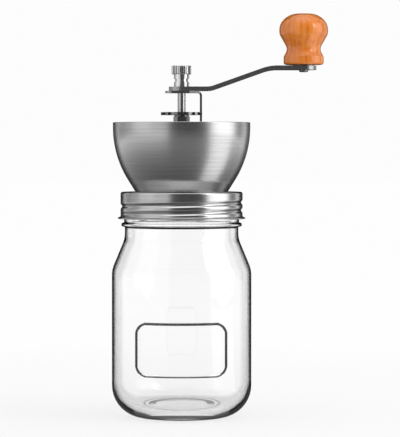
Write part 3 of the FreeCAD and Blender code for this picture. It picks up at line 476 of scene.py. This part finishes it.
def build_jar():
    """The jar with its raised label frame and its thread."""
    half_turn = math.asin(LABEL_WIDTH / 2 / JAR_RADIUS) + LABEL_MARGIN
    front_span = 2 * half_turn
    front = [FRONT - half_turn + front_span * step / FRONT_COLUMNS for step in range(FRONT_COLUMNS)]
    plain_span = 2 * math.pi - 2 * half_turn
    plain = [FRONT + half_turn + plain_span * step / PLAIN_COLUMNS for step in range(PLAIN_COLUMNS)]

    def bulge(across, up, angle):
        if on_radius(across, JAR_RADIUS):
            turn = math.remainder(angle - FRONT, 2 * math.pi)
            if abs(turn) < half_turn:
                away = label_distance(JAR_RADIUS * math.sin(turn), up)
                return across + LABEL_RISE * hump(away, LABEL_LINE / 2)
        if on_radius(across, FINISH):
            offset, ends = helix_offset(up, angle, 0, THREAD_START, JAR_THREAD_TURNS)
            return across + JAR_THREAD_RISE * ends * hump(offset, JAR_THREAD_HALF_WIDTH)
        return across

    piece = lathe("jar_glass", jar_outline(), front + plain, bulge, closed=False, sharp=60)
    dress(piece, "glass_jar", "jar", GLASS)
    for material in (SHADE_LINE_GLASS, INNER_GLASS, STIPPLED_SHADED_GLASS):
        piece.data.materials.append(material)
    for face in piece.data.polygons:
        across, depth, up = face.center / MM
        radius = math.hypot(across, depth)
        on_front = depth < 0 and radius > JAR_RADIUS - 0.2
        line_width = LABEL_LINE * (0.6 if up < LABEL_LOW + LABEL_LINE else 0.9)
        on_line = on_front and label_distance(across, up) < line_width / 2
        shade_under_bead = radius > NECK - 0.01 and BEAD_BOTTOM - 0.9 < up < BEAD_BOTTOM + 0.5
        on_bearing_ring = up < 0.4 and RING_INSIDE - 1 < radius < RING_INSIDE + RING_WIDTH
        inwards = face.normal.x * across + face.normal.y * depth < -0.05
        on_inner_floor = face.normal.z > 0.5 and up < SHOULDER_FOOT
        # Painted shade: near-black glass on the raised label frame and in a band under the bead.
        if shade_under_bead or on_line:
            face.material_index = SHADE_LINE_INDEX
        # The bearing ring's darker glass is partly its stippling and partly painted shade at the foot.
        elif on_bearing_ring:
            face.material_index = STIPPLED_SHADED_INDEX
        elif inwards or on_inner_floor:
            face.material_index = INNER_INDEX


# Screw band

BAND_RADIUS = 38.5
BAND_SHEET = 0.5
BAND_HOLE = 20.2
BAND_FLARE = 40.2
BAND_TOP = level("screw_band", True)
BAND_LOW = level("screw_band", False)
BAND_THREAD_START = BAND_LOW + 2.9
BAND_THREAD_TURNS = 1.6
BAND_THREAD_DEPTH = 1.0
BAND_THREAD_HALF_WIDTH = 1.9


def build_band():
    """Rolled band with a thread pressed into its wall and a curled lower edge."""
    inside = BAND_RADIUS - BAND_SHEET
    outline = rounded(
        [
            (BAND_HOLE, BAND_TOP),
            (BAND_RADIUS, BAND_TOP, 1.2),
            (BAND_RADIUS, BAND_LOW + 1.5, 0.8),
            (BAND_FLARE, BAND_LOW + 0.8, 0.35),
            (BAND_FLARE, BAND_LOW, 0.3),
            (inside, BAND_LOW + 0.4, 0.4),
            (inside, BAND_TOP - BAND_SHEET, 0.7),
            (BAND_HOLE, BAND_TOP - BAND_SHEET),
        ],
        steps=5,
    )

    def bulge(across, up, angle):
        on_wall = inside - 0.01 < across < BAND_RADIUS + 0.01
        if on_wall and BAND_LOW + 1.4 < up < BAND_TOP - 1.0:
            offset, ends = helix_offset(up, angle, math.pi, BAND_THREAD_START, BAND_THREAD_TURNS)
            return across - BAND_THREAD_DEPTH * ends * hump(offset, BAND_THREAD_HALF_WIDTH)
        return across

    piece = lathe("band_sheet", refined(outline, 0.45), even_angles(240), bulge)
    dress(piece, "screw_band", "head", BAND_STEEL)


# Hopper bowl

BOWL_FOOT = 29.1
BOWL_RIM = 43.3
BOWL_SHEET = 0.8
BOWL_BEND = 62.0
BOWL_BEND_LEVEL = 22.7
BOWL_LOW = level("hopper_bowl", False)
BOWL_TOP = level("hopper_bowl", True)


def build_bowl():
    """Spun bowl with a rounded rim and a rounded foot."""
    lean = (BOWL_RIM - BOWL_FOOT) / BOWL_BEND_LEVEL
    stretch = math.hypot(lean, 1)
    bend = BOWL_LOW + BOWL_BEND_LEVEL
    inner_bend = bend + BOWL_SHEET * (stretch - 1) / lean
    inner_foot = BOWL_FOOT - BOWL_SHEET * stretch + lean * BOWL_SHEET
    outline = rounded(
        [
            (BAND_HOLE, BOWL_LOW),
            (BOWL_FOOT, BOWL_LOW, 0.5),
            (BOWL_RIM, bend, BOWL_BEND),
            (BOWL_RIM, BOWL_TOP, 0.38),
            (BOWL_RIM - BOWL_SHEET, BOWL_TOP, 0.38),
            (BOWL_RIM - BOWL_SHEET, inner_bend, BOWL_BEND - BOWL_SHEET),
            (inner_foot, BOWL_LOW + BOWL_SHEET, 0.5),
            (BAND_HOLE, BOWL_LOW + BOWL_SHEET),
        ],
        steps=14,
    )
    piece = lathe("bowl_shell", refined(outline, 2.5), even_angles(192))
    dress(piece, "hopper_bowl", "head", BOWL_STEEL)


# Wooden knob

KNOB_AXIS = (76.9, 0)
KNOB_BORE = 5.02
KNOB_BORE_DEPTH = 23
KNOB_BASE = 12.6
KNOB_BASE_HEIGHT = 5.0
KNOB_WAIST = 10.0
KNOB_WAIST_LEVEL = 9.9
KNOB_BULGE = 15.3
KNOB_BULGE_LEVEL = 19.3
KNOB_SHOULDER_LEVEL = 26.0
KNOB_CROWN = 8.5
KNOB_LOW = level("knob", False)
KNOB_TOP = level("knob", True)


def build_knob():
    """Turned knob: rounded base, waist, bulge and flattened dome."""
    height = KNOB_TOP - KNOB_LOW
    outline = rounded(
        [
            (KNOB_BORE, 0),
            (KNOB_BASE, 0, 1.5),
            (KNOB_BASE, KNOB_BASE_HEIGHT, 1.5),
            (KNOB_WAIST, KNOB_WAIST_LEVEL, 5.0),
            (KNOB_BULGE, KNOB_BULGE_LEVEL, 6.0),
            (KNOB_BULGE, KNOB_SHOULDER_LEVEL, 9.0),
            (KNOB_CROWN, height, 12.0),
            (0, height),
            (0, KNOB_BORE_DEPTH),
            (KNOB_BORE, KNOB_BORE_DEPTH),
        ],
        steps=12,
    )
    outline = [(across, up + KNOB_LOW) for across, up in outline]
    piece = lathe("knob_wood", refined(outline, 1.5), even_angles(96), centre=KNOB_AXIS)
    dress(piece, "knob", "handle", WOOD)


# Burr spring

SPRING_COIL = 4.5
SPRING_WIRE = 0.5
SPRING_TURNS = 3.5
SPRING_STEPS_PER_TURN = 48
SPRING_LOW = level("burr_spring", False) + SPRING_WIRE
SPRING_TOP = level("burr_spring", True) - SPRING_WIRE


def build_spring():
    """Coil of round wire."""
    steps = round(SPRING_TURNS * SPRING_STEPS_PER_TURN)
    around = even_angles(12)
    size = len(around)
    vertices = []
    for step in range(steps + 1):
        turn = 2 * math.pi * step / SPRING_STEPS_PER_TURN
        height = SPRING_LOW + (SPRING_TOP - SPRING_LOW) * step / steps
        for angle in around:
            reach = SPRING_COIL + SPRING_WIRE * math.cos(angle)
            up = height + SPRING_WIRE * math.sin(angle)
            vertices.append((reach * math.cos(turn) * MM, reach * math.sin(turn) * MM, up * MM))
    faces = [tuple(range(size)), tuple(range(steps * size, (steps + 1) * size))]
    for here in range(0, steps * size, size):
        for index in range(size):
            after = (index + 1) % size
            faces.append((here + index, here + after, here + size + after, here + size + index))
    piece = mesh_object("spring_wire", vertices, faces)
    piece.data.materials.append(SPRING_STEEL)
    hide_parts("burr_spring")
    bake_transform(piece)


# Finishes of the pieces that keep their solids

FINISHES = {
    "jar_seal": SILICONE,
    "bridge": BRIGHT_STEEL,
    "upper_bush": BRIGHT_STEEL,
    "bush_nut": BRIGHT_STEEL,
    "burr_housing": BLACK_PLASTIC,
    "housing_screws": BRIGHT_STEEL,
    "lower_bush": BRASS,
    "outer_burr": CERAMIC,
    "burr_retainer": BLACK_PLASTIC,
    "retainer_screws": BRIGHT_STEEL,
    "inner_burr": CERAMIC,
    "burr_washer": BRIGHT_STEEL,
    "burr_nut": BRIGHT_STEEL,
    "thrust_washer": BRIGHT_STEEL,
    "drive_shaft": BRIGHT_STEEL,
    "adjusting_wheel": WHEEL_STEEL,
    "lock_plate": ARM_STEEL,
    "crank_arm": ARM_STEEL,
    "cap_nut": CAP_STEEL,
    "knob_bush": BRASS,
    "knob_pin": WHEEL_STEEL,
    # The knob washer is near black: a dark ring between the knob and the arm.
    "knob_washer": DARK_STEEL,
}

build_jar()
build_band()
build_bowl()
build_knob()
build_spring()
for name, finish in FINISHES.items():
    NODES[name].data.materials.clear()
    NODES[name].data.materials.append(finish)


# Studio: floor, flags and cards that only reflections see, lamps, world and camera. Lengths are in metres.

FLOOR_HALF = 12.0
FLOOR_FADE = {"From Min": 0.06, "From Max": 0.6, "To Min": 0.75, "To Max": 0.97}
FLAG_STEPS = 24
FLAG_REACH = 1.7
FLAG_TOP = 2.2
FRONT_BEARINGS = (-21, 47)
BACK_BEARINGS = (138, 222)
# The near card's tones paint a shadow round the object's base that only reflections see: dark close in,
# lighter further out.
NEAR_SHADOW_TONES = [(0.04, 0.14), (0.10, 0.13), (0.27, 0.28), (0.6, 0.60), (1.0, 0.85)]
FRONT_TONES = [(0.06, 0.12), (0.25, 0.22), (0.6, 0.27), (1.0, 0.22)]
RIGHT_TONES = [(0.08, 0.45), (0.2, 0.85), (0.45, 1.0)]
RIGHT_GLOW = 1.65
LEFT_TONES = [(-130, 0.44), (-108, 0.58), (-86, 0.72), (-64, 0.82), (-42, 0.88)]
LEFT_STEP = 22
LEFT_TOP = 1.6
LAMP_TARGET = Vector((0, 0, 0.15))
WORLD_LIGHT = 0.62
WORLD_SEEN = 0.98


def stage_material(name, colour):
    """A plain matt material for the floor or a flag."""
    material, tree, shader, add = new_material(name)
    shader.inputs["Base Color"].default_value = (*colour, 1)
    shader.inputs["Roughness"].default_value = 1.0
    shader.inputs["Specular IOR Level"].default_value = 0.0
    return material


def distance_out(tree):
    """The distance of a point from the middle of the object's base."""
    place = tree.nodes.new("ShaderNodeTexCoord")
    away = tree.nodes.new("ShaderNodeVectorMath")
    away.operation = "LENGTH"
    join(tree, place.outputs["Object"], away.inputs[0])
    return away.outputs["Value"]


def card_material(name, stops, strength=1.0):
    """A card whose brightness follows the distance from the object, given as (distance, brightness)."""
    material = bpy.data.materials.new(name)
    material.use_nodes = True
    tree = material.node_tree
    tree.nodes.remove(tree.nodes["Principled BSDF"])
    tones = [(far, grey(brightness)) for far, brightness in stops]
    tone = ramp(tree, tree.nodes.new, distance_out(tree), tones)
    glow = tree.nodes.new("ShaderNodeEmission")
    glow.inputs["Strength"].default_value = strength
    join(tree, tone, glow.inputs["Color"])
    join(tree, glow.outputs["Emission"], tree.nodes["Material Output"].inputs["Surface"])
    return material


def seen_rays(tree):
    """1 for rays that look at the background straight on, in a reflection or through glass, otherwise 0."""
    paths = tree.nodes.new("ShaderNodeLightPath")
    value = paths.outputs["Is Camera Ray"]
    for name in ("Is Glossy Ray", "Is Transmission Ray"):
        either = tree.nodes.new("ShaderNodeMath")
        either.operation = "MAXIMUM"
        join(tree, value, either.inputs[0])
        join(tree, paths.outputs[name], either.inputs[1])
        value = either.outputs[0]
    return value


def white_floor():
    """Pale floor that keeps a soft shadow round the object and fades to white further away."""
    material = stage_material("floor_pale", grey(0.93))
    tree = material.node_tree
    fade = tree.nodes.new("ShaderNodeMapRange")
    for name, value in FLOOR_FADE.items():
        fade.inputs[name].default_value = value
    join(tree, distance_out(tree), fade.inputs["Value"])
    share = tree.nodes.new("ShaderNodeMath")
    share.operation = "MULTIPLY"
    join(tree, seen_rays(tree), share.inputs[0])
    join(tree, fade.outputs["Result"], share.inputs[1])
    glow = tree.nodes.new("ShaderNodeEmission")
    glow.inputs["Strength"].default_value = 1.0
    mix = tree.nodes.new("ShaderNodeMixShader")
    join(tree, share.outputs[0], mix.inputs["Fac"])
    join(tree, tree.nodes["Principled BSDF"].outputs["BSDF"], mix.inputs[1])
    join(tree, glow.outputs["Emission"], mix.inputs[2])
    join(tree, mix.outputs["Shader"], tree.nodes["Material Output"].inputs["Surface"])
    return material


def stage_mesh(name, vertices, faces, material):
    """A stage object."""
    mesh = bpy.data.meshes.new(name)
    mesh.from_pydata(vertices, [], faces)
    mesh.materials.append(material)
    item = bpy.data.objects.new(name, mesh)
    bpy.context.scene.collection.objects.link(item)
    return item


def flag(name, bearings, near, far, material):
    """A curved panel between two bearings, in degrees to the right, from one (reach, level) to another."""
    vertices = []
    for step in range(FLAG_STEPS + 1):
        bearing = math.radians(bearings[0] + (bearings[1] - bearings[0]) * step / FLAG_STEPS)
        for reach, up in (near, far):
            vertices.append((reach * math.sin(bearing), -reach * math.cos(bearing), up))
    faces = [(2 * s, 2 * s + 2, 2 * s + 3, 2 * s + 1) for s in range(FLAG_STEPS)]
    item = stage_mesh(name, vertices, faces, material)
    item.visible_camera = False
    item.visible_diffuse = False
    item.visible_transmission = False
    item.visible_shadow = False


def upright_flag(name, bearings, top, material):
    """A flag that stands on the floor."""
    flag(name, bearings, (FLAG_REACH, 0.0), (FLAG_REACH, top), material)


def floor_card(name, bearings, reaches, up, material):
    """A card that lies just above the floor."""
    flag(name, bearings, (reaches[0], up), (reaches[1], up), material)


def softbox(name, bearing, rise, distance, width, height, power):
    """A rectangular lamp that faces the object."""
    lamp = bpy.data.lights.new(name, "AREA")
    lamp.shape = "RECTANGLE"
    lamp.size = width
    lamp.size_y = height
    lamp.energy = power
    item = bpy.data.objects.new(name, lamp)
    bpy.context.scene.collection.objects.link(item)
    turn, lift = math.radians(bearing), math.radians(rise)
    away = Vector((math.sin(turn) * math.cos(lift), -math.cos(turn) * math.cos(lift), math.sin(lift)))
    item.location = LAMP_TARGET + away * distance
    item.rotation_euler = away.to_track_quat("Z", "Y").to_euler()


floor_corners = [(-1, -1), (1, -1), (1, 1), (-1, 1)]
floor_points = [(FLOOR_HALF * across, FLOOR_HALF * depth, 0) for across, depth in floor_corners]
stage_mesh("floor", floor_points, [(0, 1, 2, 3)], white_floor())

black = stage_material("flag_black", grey(0.02))
dim = stage_material("flag_dim", grey(0.10))
middle_grey = stage_material("flag_grey", grey(0.35))
front_glow = card_material("card_front", FRONT_TONES)
near_shadow_glow = card_material("card_near_shadow", NEAR_SHADOW_TONES)
right_glow = card_material("card_right", RIGHT_TONES, RIGHT_GLOW)

upright_flag("flag_front", FRONT_BEARINGS, FLAG_TOP, dim)
floor_card("card_front", FRONT_BEARINGS, (0.06, FLAG_REACH), 0.002, front_glow)
upright_flag("flag_back", BACK_BEARINGS, FLAG_TOP, black)
floor_card("card_back", BACK_BEARINGS, (0.06, FLAG_REACH), 0.0025, black)
for bearing, tone in LEFT_TONES:
    panel = f"flag_left_{-bearing}"
    steady = card_material(panel, [(0, tone), (1, tone)])
    upright_flag(panel, (bearing, bearing + LEFT_STEP), LEFT_TOP, steady)
upright_flag("flag_right", (100, 122), FLAG_TOP, middle_grey)
# Painted shadow round the base, on a card just above the floor that only reflections see.
flag("card_near_shadow", (-180, 180), (0.001, 0.0003), (1.0, 0.001), near_shadow_glow)
floor_card("card_right", (50, 92), (0.08, 1.2), 0.0015, right_glow)

softbox("key_right", bearing=74, rise=12, distance=1.3, width=1.1, height=1.3, power=5.5)
softbox("strip_right", bearing=56, rise=28, distance=1.2, width=0.22, height=0.5, power=1.7)
softbox("fill_left", bearing=-70, rise=20, distance=1.5, width=1.0, height=1.2, power=1.5)
softbox("top", bearing=0, rise=80, distance=1.4, width=1.2, height=1.2, power=3.0)

world = bpy.data.worlds.new("studio")
bpy.context.scene.world = world
world.use_nodes = True
world_tree = world.node_tree
background = world_tree.nodes["Background"]
background.inputs["Color"].default_value = (1, 1, 1, 1)
strength = world_tree.nodes.new("ShaderNodeMapRange")
strength.inputs["To Min"].default_value = WORLD_LIGHT
strength.inputs["To Max"].default_value = WORLD_SEEN
join(world_tree, seen_rays(world_tree), strength.inputs["Value"])
join(world_tree, strength.outputs["Result"], background.inputs["Strength"])

# The camera's place follows from measures in pixels of a 400 by 437 frame.
FRAME_WIDTH, FRAME_HEIGHT = 400, 437
PIXELS_PER_MM = 1.585
FOCAL_PIXELS = 2450
AXIS_PIXEL = 181.6
BASE_PIXEL = 417.2
HORIZON_PIXEL = 152
camera_data = bpy.data.cameras.new("camera")
camera_data.sensor_width = 36
camera_data.lens = FOCAL_PIXELS * camera_data.sensor_width / FRAME_HEIGHT
camera_data.clip_end = 100
camera = bpy.data.objects.new("camera", camera_data)
bpy.context.scene.collection.objects.link(camera)
distance = FOCAL_PIXELS / PIXELS_PER_MM * MM
camera.location = (
    (FRAME_WIDTH / 2 - AXIS_PIXEL) / PIXELS_PER_MM * MM,
    -distance,
    (BASE_PIXEL - HORIZON_PIXEL) / PIXELS_PER_MM * MM,
)
pitch = math.atan((FRAME_HEIGHT / 2 - HORIZON_PIXEL) / FOCAL_PIXELS)
camera.rotation_euler = (math.pi / 2 - pitch, 0, 0)
bpy.context.scene.camera = camera
bpy.context.scene.view_settings.view_transform = "Standard"
